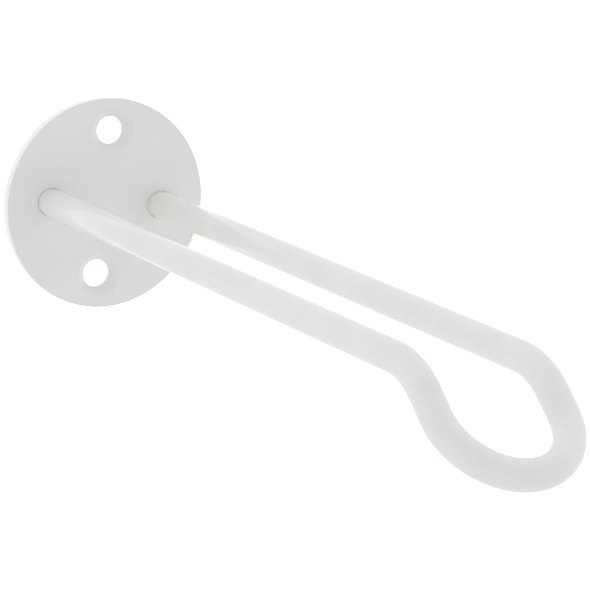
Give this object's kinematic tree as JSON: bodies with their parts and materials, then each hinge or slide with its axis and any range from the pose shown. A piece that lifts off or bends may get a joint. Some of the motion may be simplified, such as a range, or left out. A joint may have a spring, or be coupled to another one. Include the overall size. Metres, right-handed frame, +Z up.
{
  "type": "plant hanging bracket",
  "caption": "Wall bracket for a hanging plant: a round screw-on plate carries a bent bar whose arms run out side by side and close in a downturned nose.",
  "frame": {"origin": "centre of the plate's back face, on the wall", "axes": "+Y into the wall, so the bar stands out along -Y; +Z up, with the nose turned down; +X to the right as seen from the room"},
  "size_m": [0.046, 0.1793, 0.046],
  "materials": {
    "white_powder_coat": "satin white powder coat over steel"
  },
  "bodies": {
    "root": {"wall_plate": "white_powder_coat", "hanger_bar": "white_powder_coat", "back_welds": "white_powder_coat"}
  },
  "joints": []
}
